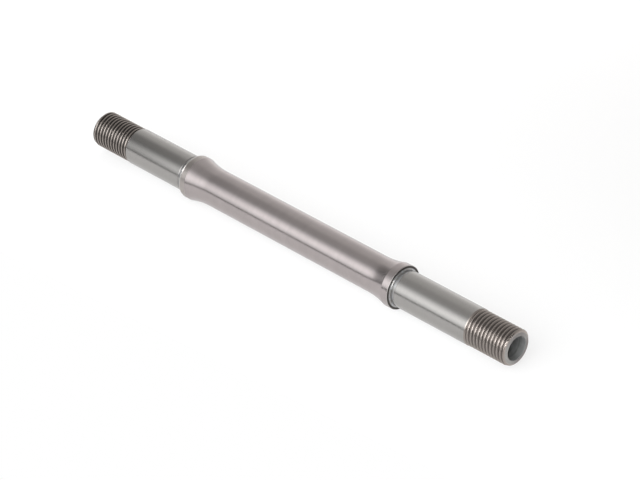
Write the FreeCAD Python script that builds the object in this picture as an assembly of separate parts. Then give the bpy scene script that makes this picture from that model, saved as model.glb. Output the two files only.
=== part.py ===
import FreeCAD, Part
import math
import os

from FreeCAD import Vector

# Rear hub axle, turned from one bar: two threaded ends, two bearing seats, two collars
# that the bearings butt against, a waisted barrel between them and a bore right through.
# The axle lies along X with its middle at the origin. The long end points to +X.

# Lengths along the axle, in mm
barrel_length = 74.9          # between the two bearing shoulders
long_seat_length = 25.15      # from shoulder to thread, at the long end
short_seat_length = 21.95     # from shoulder to thread, at the short end
long_thread_length = 12.2     # from thread to end face, at the long end
short_thread_length = 12.85   # the same at the short end
collar_land_width = 2.0       # straight part of each collar's rim

# Diameters, in mm
bore_diameter = 6.35
seat_diameter = 9.9           # slides through a 10 mm bearing bore
thread_diameter = 9.7         # over the crests
waist_diameter = 9.96
collar_diameter = 11.85

# Edges and hollows, in mm
flare_radius = 24.0           # hollow sweep from the waist up to the collar
flare_brow_radius = 0.3       # rounded edge between that sweep and the rim
collar_chamfer = 0.12
relief_width = 1.45           # grinding relief at the foot of each shoulder
relief_depth = 0.2
relief_corner_radius = 0.3
seat_lead_in = 0.6            # slight cone from the crests up to the seat
thread_chamfer = 0.8
bore_chamfer = 0.2

# Worked out from the sizes above
bore_radius = bore_diameter / 2
seat_radius = seat_diameter / 2
thread_radius = thread_diameter / 2
waist_radius = waist_diameter / 2
collar_radius = collar_diameter / 2
relief_radius = seat_radius - relief_depth
long_end_length = long_seat_length + long_thread_length
short_end_length = short_seat_length + short_thread_length
overall_length = barrel_length + long_end_length + short_end_length
long_shoulder_x = overall_length / 2 - long_end_length
short_shoulder_x = long_shoulder_x - barrel_length


class Outline:
    """One end's outline in the XZ plane, with u measured outwards from the shoulder."""

    def __init__(self, shoulder_x, way, u, radius):
        self.shoulder_x = shoulder_x
        self.way = way
        self.edges = []
        self.start = self.last = self.point(u, radius)

    def point(self, u, radius):
        return Vector(self.shoulder_x + self.way * u, 0, radius)

    def line_to(self, u, radius):
        end = self.point(u, radius)
        self.edges.append(Part.LineSegment(self.last, end).toShape())
        self.last = end

    def arc_to(self, middle, end):
        end = self.point(*end)
        self.edges.append(Part.Arc(self.last, self.point(*middle), end).toShape())
        self.last = end


def end_outline(shoulder_x, way, seat_length, end):
    """From the foot of the flare, over the collar and out along the end to the bore."""
    rim_start = -(collar_chamfer + collar_land_width)
    rise = collar_radius - waist_radius
    turn = math.acos(1 - rise / (flare_radius + flare_brow_radius))
    flare_start = rim_start - (flare_radius + flare_brow_radius) * math.sin(turn)

    def on_flare(angle):
        return (flare_start + flare_radius * math.sin(angle),
                waist_radius + flare_radius * (1 - math.cos(angle)))

    def on_brow(angle):
        return (rim_start - flare_brow_radius * math.sin(angle),
                collar_radius - flare_brow_radius * (1 - math.cos(angle)))

    outline = Outline(shoulder_x, way, flare_start, waist_radius)
    outline.arc_to(on_flare(turn / 2), on_flare(turn))
    outline.arc_to(on_brow(turn / 2), on_brow(0))
    outline.line_to(-collar_chamfer, collar_radius)
    outline.line_to(0, collar_radius - collar_chamfer)

    # Shoulder face, the relief at its foot and the ground seat
    corner = relief_corner_radius
    slant = corner * (1 - math.sqrt(0.5))
    outline.line_to(0, relief_radius + corner)
    outline.arc_to((slant, relief_radius + slant), (corner, relief_radius))
    outline.line_to(relief_width - relief_depth, relief_radius)
    outline.line_to(relief_width, seat_radius)
    outline.line_to(seat_length - seat_lead_in, seat_radius)

    # Threaded end over its crests, end face and the mouth of the bore
    outline.line_to(seat_length, thread_radius)
    outline.line_to(end - thread_chamfer, thread_radius)
    outline.line_to(end, thread_radius - thread_chamfer)
    outline.line_to(end, bore_radius + bore_chamfer)
    outline.line_to(end - bore_chamfer, bore_radius)
    return outline


def turned_axle():
    long_end = end_outline(long_shoulder_x, 1, long_seat_length, long_end_length)
    short_end = end_outline(short_shoulder_x, -1, short_seat_length, short_end_length)
    waist = Part.LineSegment(short_end.start, long_end.start).toShape()
    bore = Part.LineSegment(short_end.last, long_end.last).toShape()
    edges = Part.__sortEdges__(long_end.edges + [bore, waist] + short_end.edges)
    section = Part.Face(Part.Wire(edges))
    return section.revolve(Vector(0, 0, 0), Vector(1, 0, 0), 360)


axle = turned_axle()
if not axle.isValid() or len(axle.Solids) != 1:
    raise RuntimeError("the axle didn't come out as one sound solid")

os.makedirs("parts", exist_ok=True)
axle.exportStep("parts/axle.step")

box = axle.optimalBoundingBox(False, False)
print("axle %.2f long, %.2f across, %.0f cubic mm" % (box.XLength, box.ZLength, axle.Volume))
print("shoulders at x %.3f and %.3f" % (short_shoulder_x, long_shoulder_x))
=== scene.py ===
import math

import bmesh
import bpy
from mathutils import Matrix, Vector


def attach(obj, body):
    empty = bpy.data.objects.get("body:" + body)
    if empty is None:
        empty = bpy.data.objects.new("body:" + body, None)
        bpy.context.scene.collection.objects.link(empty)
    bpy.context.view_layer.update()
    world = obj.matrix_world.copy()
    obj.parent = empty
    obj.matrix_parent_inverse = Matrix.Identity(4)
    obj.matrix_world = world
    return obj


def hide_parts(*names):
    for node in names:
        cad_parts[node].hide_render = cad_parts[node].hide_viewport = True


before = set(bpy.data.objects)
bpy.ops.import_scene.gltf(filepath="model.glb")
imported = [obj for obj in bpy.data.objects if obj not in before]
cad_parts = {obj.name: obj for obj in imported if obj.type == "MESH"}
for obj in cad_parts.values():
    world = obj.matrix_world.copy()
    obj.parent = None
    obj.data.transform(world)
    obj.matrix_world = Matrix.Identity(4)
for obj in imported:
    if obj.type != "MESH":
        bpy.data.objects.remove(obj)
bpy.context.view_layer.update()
mm = 0.001
print("frame loaded")


# Shader arithmetic: a signal is one output of a node, so expressions on it add Math nodes
class Signal:
    def __init__(self, nodes, socket):
        self.nodes = nodes
        self.socket = socket

    def math(self, operation, *values):
        settings = {"operation": operation}
        return self.nodes.add("ShaderNodeMath", settings, dict(enumerate(values)))

    def __add__(self, other):
        return self.math("ADD", self, other)

    def __radd__(self, other):
        return self.math("ADD", other, self)

    def __sub__(self, other):
        return self.math("SUBTRACT", self, other)

    def __rsub__(self, other):
        return self.math("SUBTRACT", other, self)

    def __mul__(self, other):
        return self.math("MULTIPLY", self, other)

    def __truediv__(self, other):
        return self.math("DIVIDE", self, other)

    def power(self, exponent):
        return self.math("POWER", self, exponent)

    def larger(self, other):
        return self.math("MAXIMUM", self, other)

    def rise(self, start, end):  # 0 before start, 1 after end, smooth between
        settings = {"interpolation_type": "SMOOTHSTEP"}
        values = {"Value": self, "From Min": start, "From Max": end}
        return self.nodes.add("ShaderNodeMapRange", settings, values)

    def fall(self, start, end):  # 1 before start, 0 after end, smooth between
        return 1 - self.rise(start, end)

    def band(self, middle, core, edge):  # 1 within core of the middle, 0 beyond edge
        offset = self - middle
        return offset.math("ABSOLUTE", offset).fall(core, edge)

    def dim(self, mask, share):  # loses that share where the mask is 1
        return self * (1 - mask * share)


class Nodes:
    def __init__(self, owner):
        owner.use_nodes = True
        self.tree = owner.node_tree
        self.tree.nodes.clear()

    def add(self, kind, settings=None, values=None, output=0):
        node = self.tree.nodes.new(kind)
        for name, value in (settings or {}).items():
            if name == "stops":
                self.setStops(node, value)
            else:
                setattr(node, name, value)
        for name, value in (values or {}).items():
            if isinstance(value, Signal):
                self.tree.links.new(value.socket, node.inputs[name])
            else:
                node.inputs[name].default_value = value
        return Signal(self, node.outputs[output] if node.outputs else None)

    def setStops(self, ramp, stops):
        elements = ramp.color_ramp.elements
        while len(elements) < len(stops):
            elements.new(0.5)
        for element, (place, level) in zip(elements, stops):
            element.position = place
            element.color = grey(level)

    def mix(self, mask, low, high):  # a colour between low and high, sockets 6 and 7
        values = {"Factor": mask, 6: low, 7: high}
        return self.add("ShaderNodeMix", {"data_type": "RGBA"}, values, 2)

    def place(self):  # x, y and z on the object, in mm
        where = self.add("ShaderNodeTexCoord", output=3)
        values = {0: where, "Scale": 1 / mm}
        scaled = self.add("ShaderNodeVectorMath", {"operation": "SCALE"}, values)
        parts = self.add("ShaderNodeSeparateXYZ", values={0: scaled})
        outputs = parts.socket.node.outputs
        return [Signal(self, outputs[i]) for i in range(3)]

    def vector(self, x, y, z):
        return self.add("ShaderNodeCombineXYZ", values={0: x, 1: y, 2: z})

    def noise(self, where, scale, detail):
        values = {"Vector": where, "Scale": scale, "Detail": detail, "Roughness": 0.55}
        return self.add("ShaderNodeTexNoise", {"noise_dimensions": "3D"}, values)

    def streaks(self, along, y, z, scales, detail):  # noise drawn out round the axle
        close, wide = scales
        return self.noise(self.vector(along * close, y * wide, z * wide), 1.0, detail)

    def ray(self, kind):  # 1 for rays of that kind
        return self.add("ShaderNodeLightPath", output="Is %s Ray" % kind)


def grey(level):
    return (level, level, level, 1)


def dimmed(colour, share):
    return tuple(c * share for c in colour[:3]) + (1,)


def fromAxis(y, z):
    return (y * y + z * z).power(0.5)


# The axle is drawn with 1 mm as the unit and brought down to metres when it is whole.
# An outline is a chain of points (x, radius), drawn by extruding one vertex
def drawOutline(points):
    bpy.ops.mesh.select_all(action="DESELECT")
    bpy.ops.mesh.primitive_plane_add(size=1)
    bpy.ops.mesh.merge(type="CENTER")
    bpy.ops.transform.translate(value=(points[0][0], 0, points[0][1]))
    for here, there in zip(points, points[1:]):
        step = (there[0] - here[0], 0, there[1] - here[1])
        bpy.ops.mesh.extrude_region_move(TRANSFORM_OT_translate={"value": step})


def startPiece(name):
    bpy.ops.object.select_all(action="DESELECT")
    bpy.ops.mesh.primitive_plane_add(size=1)
    piece = bpy.context.object
    piece.name = piece.data.name = name
    bpy.ops.object.mode_set(mode="EDIT")
    bpy.ops.mesh.delete(type="VERT")
    return piece


# Each corner is (x, radius, fillet). A filleted corner gets an arc, with a close ring
# each side of it so that the flats beside it stay flat
def roundCorners(corners, arcSteps, guard):
    outline = []
    for i, (x, radius, fillet) in enumerate(corners):
        here = Vector((x, radius))
        if not fillet:
            outline.append(here)
            continue
        before = (Vector(corners[i - 1][:2]) - here).normalized()
        after = (Vector(corners[i + 1][:2]) - here).normalized()
        half = before.angle(after) / 2
        reach = fillet / math.tan(half)
        middle = here + (before + after).normalized() * (fillet / math.sin(half))
        first, last = here + before * reach, here + after * reach
        outline.append(first + before * guard)
        spoke, turn = first - middle, (first - middle).angle_signed(last - middle)
        for k in range(arcSteps + 1):
            outline.append(middle + Matrix.Rotation(-turn * k / arcSteps, 2) @ spoke)
        outline.append(last + after * guard)
    return [tuple(point) for point in outline]


# The axle's own sizes in mm, with places along x for its two ends. The bevel, relief,
# mouth and last crests differ a little from the solid's, for the photo's reflections.
# A side's bevel is (drop, width), and its crest is the middle of a thread crest
axleSizes = dict(
    long=dict(way=1, shoulder=36.175, bevel=(0.12, 0.12), seatEnd=60.725, crest=61.565,
              end=73.6),
    short=dict(way=-1, shoulder=-38.725, bevel=(0.17, 0.5), seatEnd=-60.075,
               crest=-61.235, end=-73.525),
    seatRadius=4.95, waistRadius=4.98, collarRadius=5.925, boreRadius=3.175,
    leadIn=0.6, landWidth=2.0, collarChamfer=0.12, flareRadius=24.0, browRadius=0.3,
    reliefWidth=1.45, reliefDepth=0.1, reliefCorner=0.18,
    boreChamfer=0.1, endCrown=0.12, edgeRounding=0.09,
    turnSteps=128, collarSteps=3, collarGuard=0.03, boreSteps=2, boreGuard=0.02,
    seatRing=0.1, faceRing=0.08, hair=0.01, bridgeReach=0.2, smoothAngle=38,
)
longSide, shortSide = axleSizes["long"], axleSizes["short"]
mouthRadius = axleSizes["boreRadius"] + axleSizes["boreChamfer"]


def collarOutline(side):
    # From the seat's outer end, in over the relief and the collar to the foot of the flare
    s = axleSizes
    seatEnd = side["way"] * (side["seatEnd"] - side["shoulder"])
    seat, collar, waist = s["seatRadius"], s["collarRadius"], s["waistRadius"]
    relief = seat - s["reliefDepth"]
    edge = s["edgeRounding"]
    rim = -(s["collarChamfer"] + s["landWidth"])
    drop, width = side["bevel"]
    corners = [
        (seatEnd, seat, 0),
        (seatEnd - s["seatRing"], seat, 0),
        (seatEnd / 2, seat, 0),
        (s["reliefWidth"], seat, edge / 2),
        (s["reliefWidth"] - s["reliefDepth"], relief, edge / 2),
        (0, relief, s["reliefCorner"]),
        (0, collar - drop, edge),
        (-width, collar, edge),
        (rim + s["collarGuard"], collar, 0),
    ]
    outline = roundCorners(corners, s["collarSteps"], s["collarGuard"])
    turn = math.acos(1 - (collar - waist) / (s["flareRadius"] + s["browRadius"]))
    foot = rim - (s["flareRadius"] + s["browRadius"]) * math.sin(turn)
    browSteps, flareSteps = 3, 14
    for k in range(browSteps):
        angle = turn * k / browSteps
        outline.append((rim - s["browRadius"] * math.sin(angle),
                        collar - s["browRadius"] * (1 - math.cos(angle))))
    for k in range(flareSteps, -1, -1):
        angle = turn * k / flareSteps
        outline.append((foot + s["flareRadius"] * math.sin(angle),
                        waist + s["flareRadius"] * (1 - math.cos(angle))))
    return [(side["shoulder"] + side["way"] * u, radius) for u, radius in outline]


def boreOutline():
    s = axleSizes
    mouth, bore, ring = mouthRadius, s["boreRadius"], mouthRadius + s["faceRing"]
    edge, chamfer, hair = s["edgeRounding"] / 3, s["boreChamfer"], s["hair"]
    long, short = longSide["end"] + s["endCrown"], shortSide["end"] - s["endCrown"]
    outline = roundCorners([
        (long, ring, 0), (long, mouth, edge), (long - chamfer, bore, edge),
        (long / 2, bore, 0), (0, bore, 0), (short / 2, bore, 0),
        (short + chamfer, bore, edge), (short, mouth, edge), (short, ring, 0),
    ], s["boreSteps"], s["boreGuard"])
    # The first and last rings start a hair inside, so that the end faces bridge the
    # right way round
    outline[0] = (long - hair, outline[0][1])
    outline[-1] = (short + hair, outline[-1][1])
    return outline


def turnBody():
    body = startPiece("axleBody")
    long, short = collarOutline(longSide), collarOutline(shortSide)
    waistRings = 6
    start, end = long[-1], short[-1]
    spacing = (end[0] - start[0]) / waistRings
    waist = [(start[0] + spacing * k, start[1]) for k in range(1, waistRings)]
    drawOutline(long + waist + short[::-1])
    drawOutline(boreOutline())
    bpy.ops.mesh.select_all(action="SELECT")
    bpy.ops.mesh.spin(steps=axleSizes["turnSteps"], angle=2 * math.pi,
                      center=(0, 0, 0), axis=(1, 0, 0))
    bpy.ops.mesh.select_all(action="SELECT")
    bpy.ops.mesh.remove_doubles(threshold=0.001)
    bpy.ops.object.mode_set(mode="OBJECT")
    return body


# 24 to the inch, right-handed, with softened crests. endRings are distances from the
# end where the mesh gets an extra ring for the rounding of the last crests
threadSizes = dict(
    pitch=25.4 / 24, crestRadius=4.85, depth=0.5, flankAngle=55,
    crestRounding=0.22, rootRounding=0.12, crestSteps=4, rootSteps=2,
    seatGap=0.02, fadeLength=0.9,
    endDrop=0.8, endLength=0.42, endPower=1.5, endSoftness=0.06,
    endRings=(0.008, 0.02, 0.04, 0.07, 0.11, 0.15, 0.19, 0.23, 0.27, 0.31, 0.35, 0.4, 0.46),
)


def threadOutline():
    # One pitch from groove to groove, as (distance, depth below the crest)
    t = threadSizes
    slope = math.radians(t["flankAngle"])

    def arc(radius, share):
        return radius * math.sin(slope * share), radius * (1 - math.cos(slope * share))

    root, crest = [], []
    for k in range(t["rootSteps"] + 1):
        run, rise = arc(t["rootRounding"], k / t["rootSteps"])
        root.append((run, t["depth"] - rise))
    crestRun, crestDrop = arc(t["crestRounding"], 1)
    flankRun = (root[-1][1] - crestDrop) / math.tan(slope)
    middle = root[-1][0] + flankRun + crestRun
    for k in range(t["crestSteps"], -1, -1):
        run, drop = arc(t["crestRounding"], k / t["crestSteps"])
        crest.append((middle - run, drop))
    half = root + crest
    return half + [(t["pitch"] - u, depth) for u, depth in half[::-1]]


def roundedEnd(toEnd):
    # The last crests curve down into the end face
    t = threadSizes
    power = t["endPower"]
    share = min(1, max(0, toEnd / t["endLength"]))
    return t["crestRadius"] - t["endDrop"] * (1 - (1 - (1 - share)**power)**(1 / power))


def softMin(a, b, reach):
    share = max(0, min(1, 0.5 + (b - a) / (2 * reach)))
    return b + (a - b) * share - reach * share * (1 - share)


def cutThread(name, side):
    t, s = threadSizes, axleSizes
    way, seatEnd, end = side["way"], side["seatEnd"], side["end"]
    inner = seatEnd + way * t["seatGap"]
    low, high = min(inner, end), max(inner, end)
    startX = side["crest"] - t["pitch"] / 2
    while startX > low - t["pitch"]:
        startX -= t["pitch"]
    turns = math.ceil((high - startX) / t["pitch"]) + 1

    thread = startPiece(name)
    drawOutline([(startX + u, t["crestRadius"] - depth) for u, depth in threadOutline()])
    bpy.ops.object.mode_set(mode="OBJECT")
    screw = thread.modifiers.new("thread", "SCREW")
    screw.axis, screw.angle, screw.iterations = "X", 2 * math.pi, turns
    screw.screw_offset = t["pitch"]
    screw.steps = screw.render_steps = s["turnSteps"]
    bpy.ops.object.modifier_apply(modifier="thread")

    # Squared off at both ends, with the extra rings
    bpy.ops.object.mode_set(mode="EDIT")
    for x, outwards in ((low, -1), (high, 1)):
        bpy.ops.mesh.select_all(action="SELECT")
        bpy.ops.mesh.bisect(plane_co=(x, 0, 0), plane_no=(outwards, 0, 0),
                            clear_outer=True, threshold=0.0005)
    for inset in t["endRings"]:
        bpy.ops.mesh.select_all(action="SELECT")
        bpy.ops.mesh.bisect(plane_co=(end - way * inset, 0, 0), plane_no=(1, 0, 0),
                            threshold=0.0005)
    bpy.ops.mesh.select_all(action="SELECT")
    bpy.ops.mesh.remove_doubles(threshold=0.002)

    # The groove fades in from the seat, and the last crests are rounded off at the end
    mesh = bmesh.from_edit_mesh(thread.data)
    for vertex in mesh.verts:
        x, radius = vertex.co.x, vertex.co.yz.length
        fromSeat, toEnd = way * (x - seatEnd), way * (end - x)
        lead = min(1, fromSeat / s["leadIn"])
        blank = s["seatRadius"] + (t["crestRadius"] - s["seatRadius"]) * lead
        fade = min(1, max(0, fromSeat / t["fadeLength"]))
        fade = fade * fade * (3 - 2 * fade)
        wanted = blank - fade * (t["crestRadius"] - radius)
        if toEnd < t["endLength"]:
            wanted = softMin(wanted, roundedEnd(toEnd), t["endSoftness"])
        vertex.co.y *= wanted / radius
        vertex.co.z *= wanted / radius
    bmesh.update_edit_mesh(thread.data)
    bpy.ops.object.mode_set(mode="OBJECT")
    return thread


def bridgeRings(piece, low, high):
    # Joins the two open rings that lie between two places along the axle
    mesh = bmesh.from_edit_mesh(piece.data)
    bpy.ops.mesh.select_all(action="DESELECT")
    for edge in mesh.edges:
        if edge.is_boundary and all(low <= v.co.x <= high for v in edge.verts):
            edge.select = True
    mesh.select_flush_mode()
    bmesh.update_edit_mesh(piece.data)
    bpy.ops.mesh.bridge_edge_loops()


def joinAxle(parts):
    bpy.ops.object.select_all(action="DESELECT")
    for part in parts:
        part.select_set(True)
    piece = parts[0]
    bpy.context.view_layer.objects.active = piece
    bpy.ops.object.join()
    piece.name = piece.data.name = "turnedAxle"
    s = axleSizes
    bpy.ops.object.mode_set(mode="EDIT")
    bpy.ops.mesh.select_mode(type="EDGE")
    for side in (longSide, shortSide):
        for place in (side["seatEnd"], side["end"]):
            bridgeRings(piece, place - s["bridgeReach"], place + s["bridgeReach"])
    # The ring outside the long end's mouth comes out level with the mouth again
    mesh = bmesh.from_edit_mesh(piece.data)
    top, outside = longSide["end"] + s["endCrown"], mouthRadius + s["faceRing"] / 2
    for vertex in mesh.verts:
        level = abs(top - s["hair"] - vertex.co.x) < s["hair"] / 2
        if level and vertex.co.yz.length > outside:
            vertex.co.x = top
    bmesh.update_edit_mesh(piece.data)
    bpy.ops.mesh.select_all(action="SELECT")
    bpy.ops.mesh.normals_make_consistent(inside=False)
    bpy.ops.mesh.select_all(action="DESELECT")
    bpy.ops.object.mode_set(mode="OBJECT")
    piece.scale = (mm, mm, mm)
    bpy.ops.object.transform_apply(location=False, rotation=False, scale=True)
    bpy.ops.object.shade_smooth_by_angle(angle=math.radians(s["smoothAngle"]))
    return piece


axleParts = [turnBody()]
print("body turned")
axleParts.append(cutThread("longThread", longSide))
axleParts.append(cutThread("shortThread", shortSide))
print("threads cut")
turnedAxle = joinAxle(axleParts)
print("axle joined:", len(turnedAxle.data.polygons), "faces")


# Finishes. Colours are linear and lengths are in mm. A Range is where a mask rises from
# 0 to 1, a Share is how much of it counts, and Scales are (close, wide) for streaks that
# run round the axle
bumpHeight = 0.01


def finish(name, look, pattern):
    # pattern returns the colour, roughness and height signals for the surface
    material = bpy.data.materials.new(name)
    nodes = Nodes(material)
    x, y, z = nodes.place()
    colour, roughness, height = pattern(nodes, look, x, y, z, fromAxis(y, z))
    bump = nodes.add("ShaderNodeBump", None, {
        "Strength": look["bump"], "Distance": bumpHeight * mm, "Height": height})
    surface = nodes.add("ShaderNodeBsdfPrincipled", None, {
        "Base Color": colour, "Roughness": roughness, "Metallic": look["metallic"],
        "Normal": bump})
    nodes.add("ShaderNodeOutputMaterial", None, {"Surface": surface})
    return material


anodised = dict(
    colour=(0.500, 0.452, 0.447, 1), land=(0.48, 0.44, 0.42, 1), dimming=0.9,
    roughness=0.22, rimRoughness=0.08, lineRoughness=0.08, metallic=1.0, bump=0.12,
    cloudScale=0.22, cloudRange=(0.3, 0.7), cloudShare=0.5,
    lineScales=(3.0, 0.08), lineRange=(0.35, 0.65), lineShare=0.25, lineHeight=0.7,
    grainScale=9.0, grainHeight=0.3, rimSoftness=0.05,
)


def anodisedPattern(nodes, f, x, y, z, radius):
    # Faint clouds and turning lines. The short end's collar has a duller rim
    s = axleSizes
    where = nodes.vector(x, y, z)
    cloud = nodes.noise(where, f["cloudScale"], detail=3)
    lines = nodes.streaks(x, y, z, f["lineScales"], detail=3)
    grain = nodes.noise(where, f["grainScale"], detail=3)
    worn = cloud.rise(*f["cloudRange"]) * f["cloudShare"]
    worn = worn + lines.rise(*f["lineRange"]) * f["lineShare"]
    colour = nodes.mix(worn, f["colour"], dimmed(f["colour"], f["dimming"]))
    rimMiddle = shortSide["shoulder"] + s["collarChamfer"] + s["landWidth"] / 2
    rim = x.band(rimMiddle, s["landWidth"] / 2 - f["rimSoftness"], s["landWidth"] / 2)
    colour = nodes.mix(rim, colour, f["land"])
    roughness = f["roughness"] + (lines - 0.5) * f["lineRoughness"] + rim * f["rimRoughness"]
    return colour, roughness, lines * f["lineHeight"] + grain * f["grainHeight"]


# In ground, relief is partly painted highlight, shortRelief a painted reflection of the collar,
# shade painted shade and edge partly painted highlight
ground = dict(
    colour=(0.45, 0.436, 0.421, 1), relief=(0.56, 0.57, 0.585, 1), dimming=0.84,
    shortRelief=(0.30, 0.30, 0.31, 1), shade=(0.10, 0.09, 0.085, 1),
    edge=(0.56, 0.54, 0.52, 1), metallic=1.0, bump=0.08,
    roughness=0.235, speckleRoughness=0.12, faceRoughness=0.2, hollowRoughness=0.1,
    markScales=(9.0, 0.3), markRange=(0.45, 0.75), markShare=0.35, markHeight=0.5,
    speckleScale=5.0, speckleRange=(0.45, 0.7), speckleShare=0.35, speckleHeight=0.5,
    patchScale=1.2, patchStretch=2.0, patchRange=(0.4, 0.6), patchFade=0.2,
    longRange=(-1, 1), hollowStart=1.1, edgeRange=(-0.03, -0.015),
    faceRise=(5.17, 5.35), faceStart=(-0.02, -0.008), faceEnd=(0.24, 0.34),
    runOutBand=(0.04, 0.14), runOutShare=0.25,
)


def groundPattern(nodes, f, x, y, z, radius):
    # Fine grinding marks and speckle; a patchy relief, pale and bluish at the long end (partly
    # its finish, partly painted highlight) and dark at the short end (a painted reflection of
    # the collar); a pale bevel (worn bare metal, partly painted highlight); painted shade on
    # the shoulder face and a painted dark line where the relief runs out
    s = axleSizes
    marks = nodes.streaks(x, y, z, f["markScales"], detail=4)
    speckle = nodes.noise(nodes.vector(x, y, z), f["speckleScale"], detail=3)
    worn = marks.rise(*f["markRange"]) * f["markShare"]
    worn = worn + speckle.rise(*f["speckleRange"]) * f["speckleShare"]
    colour = nodes.mix(worn, f["colour"], dimmed(f["colour"], f["dimming"]))
    outwards = (x - longSide["shoulder"]).larger(shortSide["shoulder"] - x)
    where = nodes.vector(x * f["patchStretch"], y, z)
    patches = nodes.noise(where, f["patchScale"], detail=2)
    # The relief's patches: pale and bluish at the long end, partly its finish and partly
    # painted highlight; dark at the short end, a painted reflection of the collar
    inRelief = outwards.fall(s["reliefWidth"] - f["patchFade"], s["reliefWidth"])
    relief = nodes.mix(x.rise(*f["longRange"]), f["shortRelief"], f["relief"])
    colour = nodes.mix(inRelief * patches.rise(*f["patchRange"]), colour, relief)
    # The bevel is paler: worn bare metal, and partly a painted highlight
    colour = nodes.mix(outwards.fall(*f["edgeRange"]), colour, f["edge"])
    # Painted shade on the shoulder face, and a painted dark line where the relief runs out that
    # stands in for the shoulder's reflection
    face = radius.rise(*f["faceRise"]) * outwards.rise(*f["faceStart"])
    face = face * outwards.fall(*f["faceEnd"])
    runOut = outwards.band(s["reliefWidth"] - s["reliefDepth"] / 2, *f["runOutBand"])
    colour = nodes.mix(face + runOut * f["runOutShare"], colour, f["shade"])
    inHollow = outwards.fall(f["hollowStart"], s["reliefWidth"])
    roughness = f["roughness"] + (speckle - 0.5) * f["speckleRoughness"]
    roughness = roughness + face * f["faceRoughness"] + inHollow * f["hollowRoughness"]
    return colour, roughness, marks * f["markHeight"] + speckle * f["speckleHeight"]


# grooveTop and crestTop are where the painted groove shade ends and the crest's colour begins
thread = dict(
    crest=(0.42, 0.372, 0.342, 1), groove=(0.18, 0.16, 0.148, 1),
    shortCrest=(0.40, 0.354, 0.325, 1), shortGroove=(0.06, 0.054, 0.05, 1),
    roughness=0.26, grooveRoughness=0.08, metallic=1.0, bump=0.03, grainScale=6.0,
    grooveTop=0.3, longGrooveDrop=0.17, crestTop=0.03, longRange=(-30, 30),
    lastCrest=0.36, lastFade=0.1, lastRise=(4.35, 4.6), lastRing=(0.12, 0.2),
)


def threadPattern(nodes, f, x, y, z, radius):
    # Pale crests, with painted shade in the grooves. At the short end the painted groove shade
    # is darker, and the crests are a little darker and narrower. The long end's last crest is
    # pale right out to the end face
    t = threadSizes
    atLong = x.rise(*f["longRange"])
    grooveTop = t["crestRadius"] - t["depth"] + f["grooveTop"] - atLong * f["longGrooveDrop"]
    height = radius.rise(grooveTop, t["crestRadius"] - f["crestTop"])
    last = longSide["end"] - f["lastCrest"]
    height = height.larger(x.rise(last - f["lastFade"], last) * radius.rise(*f["lastRise"]))
    height = height.larger(x.rise(*[last + u for u in f["lastRing"]]))
    # Painted shade in the grooves, darker at the short end
    groove = nodes.mix(atLong, f["shortGroove"], f["groove"])
    crest = nodes.mix(atLong, f["shortCrest"], f["crest"])
    grain = nodes.noise(nodes.vector(x, y, z), f["grainScale"], detail=3)
    roughness = f["roughness"] + (1 - height) * f["grooveRoughness"]
    return nodes.mix(height, groove, crest), roughness, grain


faced = dict(
    colour=(0.41, 0.398, 0.381, 1), stain=(0.20, 0.18, 0.18, 1), dimming=0.75,
    roughness=0.4, ringRoughness=0.1, metallic=1.0, bump=0.25,
    ringScales=(7.0, 0.1), ringRange=(0.4, 0.7),
    stainWay=(0.743, -0.669), stainRange=(0.2, 0.85), stainShare=0.75,
    topRange=(0.3, 1), topShare=0.6,
)


def facedPattern(nodes, f, x, y, z, radius):
    # Rings from facing, with painted shade on one side of the end face and fainter painted
    # shade at its top
    rings = nodes.streaks(radius, y, z, f["ringScales"], detail=3)
    darker = dimmed(f["colour"], f["dimming"])
    colour = nodes.mix(rings.rise(*f["ringRange"]), f["colour"], darker)
    # Painted shade: the end face is darker on one side and towards the top
    sideways = (y * f["stainWay"][0] + z * f["stainWay"][1]) / radius
    stain = sideways.rise(*f["stainRange"]) * f["stainShare"]
    stain = stain.larger((z / radius).rise(*f["topRange"]) * f["topShare"])
    colour = nodes.mix(stain, colour, f["stain"])
    return colour, f["roughness"] + (rings - 0.5) * f["ringRoughness"], rings


# The bore's own tone, turned darker as painted shade inside the hole
bored = dict(
    colour=(0.215, 0.218, 0.215, 1), dimming=0.7, roughness=0.6, markRoughness=0.15,
    metallic=0.3, bump=0.35, markScales=(2.2, 0.2), markRange=(0.4, 0.7),
)


def boredPattern(nodes, f, x, y, z, radius):
    marks = nodes.streaks(x, y, z, f["markScales"], detail=3)
    darker = dimmed(f["colour"], f["dimming"])
    colour = nodes.mix(marks.rise(*f["markRange"]), f["colour"], darker)
    return colour, f["roughness"] + (marks - 0.5) * f["markRoughness"], marks


# Where one finish gives way to the next, in mm from the axle's own edges. An end face
# leans at least faceTilt along x
borders = dict(faceDepth=0.03, faceTilt=0.6, boreMargin=0.03, threadStart=0.1,
               longEdge=0.115, shortEdge=0.49)


def dressAxle(piece):
    looks = [("hardAnodised", anodised, anodisedPattern), ("groundSeat", ground, groundPattern),
             ("threadFinish", thread, threadPattern), ("facedEnd", faced, facedPattern),
             ("boredHole", bored, boredPattern)]
    piece.data.materials.clear()
    for look in looks:
        piece.data.materials.append(finish(*look))
    onBarrel, onSeat, onThread, onFace, inBore = range(len(looks))
    b = borders
    for face in piece.data.polygons:
        x, y, z = (c / mm for c in face.center)
        radius = math.hypot(y, z)
        atEnd = abs(x) > longSide["end"] - b["faceDepth"] and radius > mouthRadius
        if atEnd and abs(face.normal.x) > b["faceTilt"]:
            slot = onFace
        elif radius < mouthRadius + b["boreMargin"]:
            slot = inBore
        elif not (shortSide["seatEnd"] - b["threadStart"] <= x
                  <= longSide["seatEnd"] + b["threadStart"]):
            slot = onThread
        elif not (shortSide["shoulder"] + b["shortEdge"] <= x
                  <= longSide["shoulder"] - b["longEdge"]):
            slot = onSeat
        else:
            slot = onBarrel
        face.material_index = slot


dressAxle(turnedAxle)
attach(turnedAxle, "root")
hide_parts("axle")
print("axle dressed")


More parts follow.
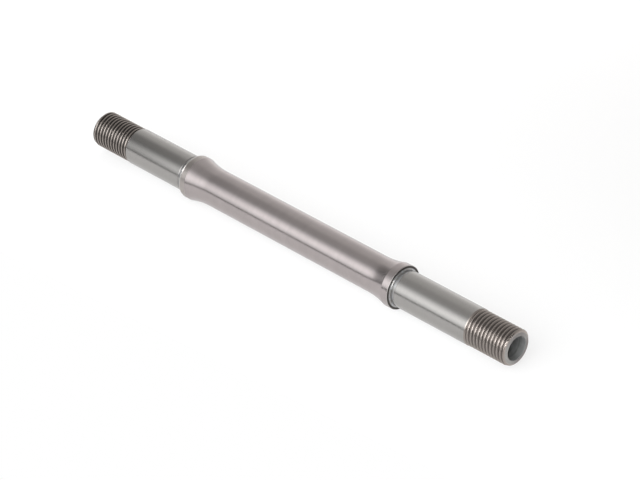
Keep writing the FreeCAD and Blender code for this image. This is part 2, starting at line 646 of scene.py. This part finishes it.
# A white floor under the collars. The camera and reflections see it nearly white, and it
# keeps the axle's shadow. Reflections see it brighter behind the axle and a little darker
# in front of the long end
floorSizes = dict(
    top=-5.93, nearEdge=(15, -48.5), edgeSlope=0.07, farEdge=230, left=-260, right=420,
    cameraShare=0.7, glossyShare=0.7, paper=0.85,
    glossyGlow=0.69, behindGlow=0.18, behindRange=(-8, 1), besideLoss=0.2, besideRange=(40, 80),
)


def paperShader(nodes):
    f = floorSizes
    x, y, z = nodes.place()
    glossy = nodes.ray("Glossy")
    seen = nodes.ray("Camera") * f["cameraShare"] + nodes.ray("Transmission") * f["cameraShare"]
    paper = nodes.add("ShaderNodeBsdfDiffuse", None, {"Color": grey(f["paper"])})
    behind = y.rise(*f["behindRange"])
    beside = x.rise(*f["besideRange"]) * (1 - behind)
    glow = f["glossyGlow"] + behind * f["behindGlow"] - beside * f["besideLoss"]
    strength = 1 - glossy * (1 - glow)
    shine = nodes.add("ShaderNodeEmission", None, {"Color": grey(1), "Strength": strength})
    share = seen + glossy * f["glossyShare"]
    return nodes.add("ShaderNodeMixShader", None, {0: share, 1: paper, 2: shine})


def layFloor():
    f = floorSizes
    bpy.ops.object.select_all(action="DESELECT")
    bpy.ops.mesh.primitive_plane_add(size=1)
    floor = bpy.context.object
    floor.name = "floor"
    bpy.ops.object.mode_set(mode="EDIT")
    edgeX, edgeY = f["nearEdge"]
    middle = (f["right"] + f["left"]) / 2
    bpy.ops.transform.resize(value=((f["right"] - f["left"]) * mm, f["farEdge"] * 2 * mm, 1))
    bpy.ops.transform.translate(value=(middle * mm, 0, f["top"] * mm))
    bpy.ops.mesh.bisect(plane_co=(edgeX * mm, edgeY * mm, 0),
                        plane_no=(-f["edgeSlope"], 1, 0), clear_inner=True)
    bpy.ops.object.mode_set(mode="OBJECT")
    material = bpy.data.materials.new("whitePaper")
    nodes = Nodes(material)
    nodes.add("ShaderNodeOutputMaterial", None, {"Surface": paperShader(nodes)})
    floor.data.materials.append(material)


# A half-round light tent: bright on the side the light comes from, dim overhead, with a
# bright panel beyond each end. Only what reflects or is lit sees it, never the camera.
# A Round, Rise or Fall is in shares of the half turn from the bright side's foot, an Along
# is a range of x, a Depth is in from the tent's end, an Inner or Outer is a range of
# distances from the axle's line, and dip is (middle, core, edge) along x
tentSizes = dict(radius=215, left=-300, right=430, skirt=-30, facets=96)
tentLight = dict(
    # (degrees round from the bright side's foot, brightness)
    round=[(0, 1.0), (8, 1.33), (16, 1.58), (24, 1.66), (32, 1.58), (42, 1.25), (55, 0.68),
           (66, 0.46), (90, 0.45), (112, 0.60), (135, 0.67), (158, 0.88), (175, 1.15),
           (180, 1.15)],
    full=2.0, brightRound=(0.28, 0.45),
    shortAlong=(-235, -190), shortLoss=0.74,
    longAlong=(-60, 150), longRound=(0.03, 0.1), longBoost=1.3,
    beyondAlong=(230, 300), beyondLoss=0.85,
    dip=(-112, 15, 45), dipLoss=0.08,
    backAlong=(-60, 60), backRound=(0.5, 0.6), backLoss=0.42,
    roofRise=(0.25, 0.4), roofFall=(0.55, 0.7), roofAlong=(-250, -170), roofLoss=0.48,
    endPanel=12.5, panelDepth=(40, 1), panelRound=(0.2, 0.36), panelInner=(40, 80),
    panelOuter=(115, 135),
    shortPanel=6.0, shortDepth=(1, 20), shortRound=(0.45, 0.6), shortOuter=(66, 84),
    footAlong=(-215, -165), footLift=8, footTop=-9, footSoftness=2,
    diffuseBright=2.4, diffuseRest=1.6, diffuseShort=1.35, diffuseLoss=0.58,
    diffuseAlong=(-100, 150),
    wallTint=(0.985, 0.995, 1.0, 1), roofTint=(1.0, 0.988, 0.975, 1),
)


def clothShader(nodes):
    t, light = tentSizes, tentLight
    x, y, z = nodes.place()
    around = z.math("ARCTAN2", z, y * -1) / math.pi
    out = fromAxis(y, z)
    stops = [(angle / 180, level / light["full"]) for angle, level in light["round"]]
    level = nodes.add("ShaderNodeValToRGB", {"stops": stops}, {0: around}) * light["full"]

    # The wall on the bright side, the wall at the back and the roof
    brightSide = around.fall(*light["brightRound"])
    towardsLong = x.rise(*light["longAlong"]) * around.rise(*light["longRound"])
    level = level.dim(brightSide * x.fall(*light["shortAlong"]), light["shortLoss"])
    level = level * (1 + brightSide * towardsLong * light["longBoost"])
    level = level.dim(brightSide * x.rise(*light["beyondAlong"]), light["beyondLoss"])
    level = level.dim(brightSide * x.band(*light["dip"]), light["dipLoss"])
    atBack = around.rise(*light["backRound"]) * x.rise(*light["backAlong"])
    level = level.dim(atBack, light["backLoss"])
    roof = around.rise(*light["roofRise"]) * around.fall(*light["roofFall"])
    level = level.dim(roof * x.fall(*light["roofAlong"]), light["roofLoss"])

    # The panel beyond the long end is low on the bright side, and the short end's is round
    panel = around.fall(*light["panelRound"]) * out.rise(*light["panelInner"])
    panel = panel * out.fall(*light["panelOuter"])
    atEnd = x.rise(*[t["right"] - depth for depth in light["panelDepth"]])
    level = level * (1 - atEnd) + atEnd * panel * light["endPanel"]
    atShort = x.fall(*[t["left"] + depth for depth in light["shortDepth"]])
    atShort = atShort * around.fall(*light["shortRound"]) * out.fall(*light["shortOuter"])
    level = level + atShort * light["shortPanel"]

    # The wall stands off the floor, higher towards the short end
    foot = x.fall(*light["footAlong"]) * light["footLift"] + light["footTop"]
    level = level * (z - foot).rise(0, light["footSoftness"])

    # What the tent gives to matt surfaces
    towardsFloor = brightSide * (light["diffuseBright"] - light["diffuseRest"])
    towardsFloor = light["diffuseRest"] + towardsFloor
    along = x.rise(*light["diffuseAlong"])
    towardsFloor = towardsFloor * (light["diffuseShort"] - along * light["diffuseLoss"])
    towardsFloor = towardsFloor * (1 - atEnd)
    level = level * (1 + nodes.ray("Diffuse") * (towardsFloor - 1))
    tint = nodes.mix(brightSide, light["roofTint"], light["wallTint"])
    return nodes.add("ShaderNodeEmission", None, {"Color": tint, "Strength": level})


def raiseTent():
    t = tentSizes
    bpy.ops.object.select_all(action="DESELECT")
    bpy.ops.mesh.primitive_cylinder_add(
        vertices=t["facets"], radius=t["radius"] * mm, depth=(t["right"] - t["left"]) * mm,
        end_fill_type="NGON", location=((t["right"] + t["left"]) / 2 * mm, 0, 0),
        rotation=(0, math.pi / 2, 0))
    tent = bpy.context.object
    tent.name = "lightTent"
    bpy.ops.object.transform_apply(location=True, rotation=True, scale=True)
    bpy.ops.object.mode_set(mode="EDIT")
    bpy.ops.mesh.select_all(action="SELECT")
    bpy.ops.mesh.bisect(plane_co=(0, 0, t["skirt"] * mm), plane_no=(0, 0, 1),
                        clear_inner=True)
    bpy.ops.object.mode_set(mode="OBJECT")
    material = bpy.data.materials.new("tentCloth")
    nodes = Nodes(material)
    nodes.add("ShaderNodeOutputMaterial", None, {"Surface": clothShader(nodes)})
    tent.data.materials.append(material)
    tent.visible_camera = False


# The camera sees the room white, and everything else sees it dark
def lightWorld():
    world = bpy.data.worlds.new("room")
    bpy.context.scene.world = world
    nodes = Nodes(world)
    seen = nodes.ray("Camera") + nodes.ray("Transmission")
    roomLevel = 0.06
    strength = roomLevel + seen * (1 - roomLevel)
    air = nodes.add("ShaderNodeBackground", None, {"Color": grey(1), "Strength": strength})
    nodes.add("ShaderNodeOutputWorld", None, {"Surface": air})


layFloor()
raiseTent()
lightWorld()
scene = bpy.context.scene
scene.view_settings.view_transform = "Standard"
print("stage set")

# The camera stands level, beyond the long end and to the right of the axle
cameraSizes = dict(place=(482.075, -475.9, 427.9), aim=(6.825, 0.4, 0.57), lens=178.14,
                   sensor=36.0, clip=(0.01, 20))


def setCamera():
    c = cameraSizes
    place, aim = Vector(c["place"]) * mm, Vector(c["aim"]) * mm
    data = bpy.data.cameras.new("camera")
    data.lens, data.sensor_width = c["lens"], c["sensor"]
    data.clip_start, data.clip_end = c["clip"]
    camera = bpy.data.objects.new("camera", data)
    scene.collection.objects.link(camera)
    camera.location = place
    camera.rotation_euler = (aim - place).to_track_quat("-Z", "Y").to_euler()
    scene.camera = camera


setCamera()
print("camera set")
